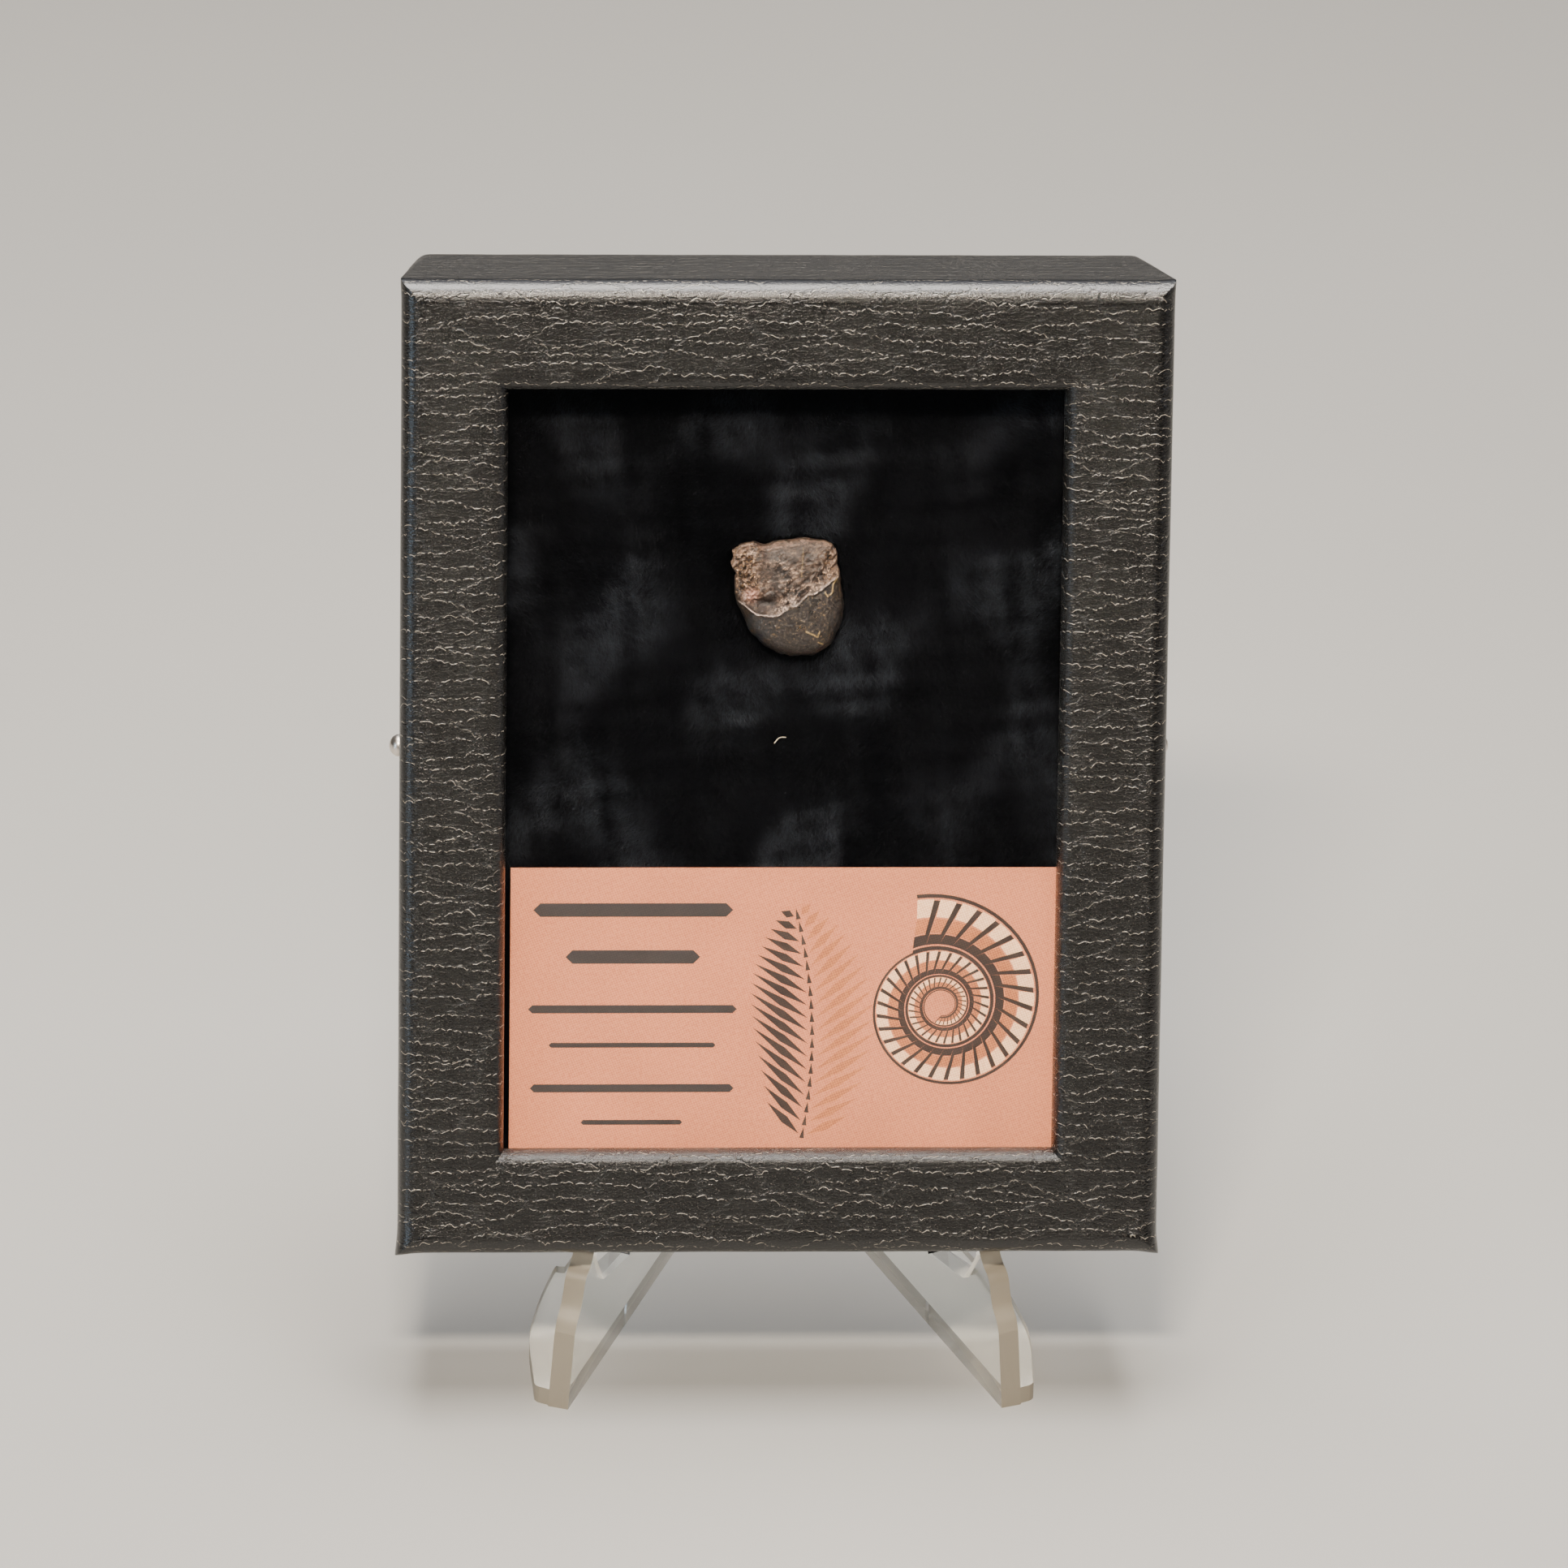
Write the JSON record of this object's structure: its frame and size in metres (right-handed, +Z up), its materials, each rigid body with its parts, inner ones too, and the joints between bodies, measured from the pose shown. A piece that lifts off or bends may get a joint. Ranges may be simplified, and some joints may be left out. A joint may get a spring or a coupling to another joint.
{
  "type": "fossil triceratops tooth in a display case",
  "caption": "Fossil tooth on black plush in a small leatherette case with a glazed window and label card, leaning on a clear two-armed easel.",
  "frame": {"origin": "on the surface the stand rests on, at the middle of the object's box", "axes": "+Z up, +X to the right seen from the front, +Y to the back, so the case's window looks towards -Y and a little up"},
  "size_m": [0.0838, 0.0678, 0.1225],
  "materials": {
    "fossil_tooth": "dark brown fossil enamel with tan broken edges, half gloss",
    "leatherette": "black-brown embossed leatherette, half gloss",
    "glass": "clear",
    "covered_board": "black paper over board",
    "plush": "black long-pile plush",
    "printed_card": "peach print on satin card",
    "nickel": "nickel plated",
    "clear_acrylic": "clear, with frosted cut edges"
  },
  "bodies": {
    "root": {"tooth": "fossil_tooth", "lid": "leatherette", "glass_pane": "glass", "base_tray": "covered_board", "plush_lining": "plush", "label_card": "printed_card", "pin_left": "nickel", "pin_right": "nickel", "stand_left_arm": "clear_acrylic", "stand_right_arm": "clear_acrylic"}
  },
  "joints": []
}
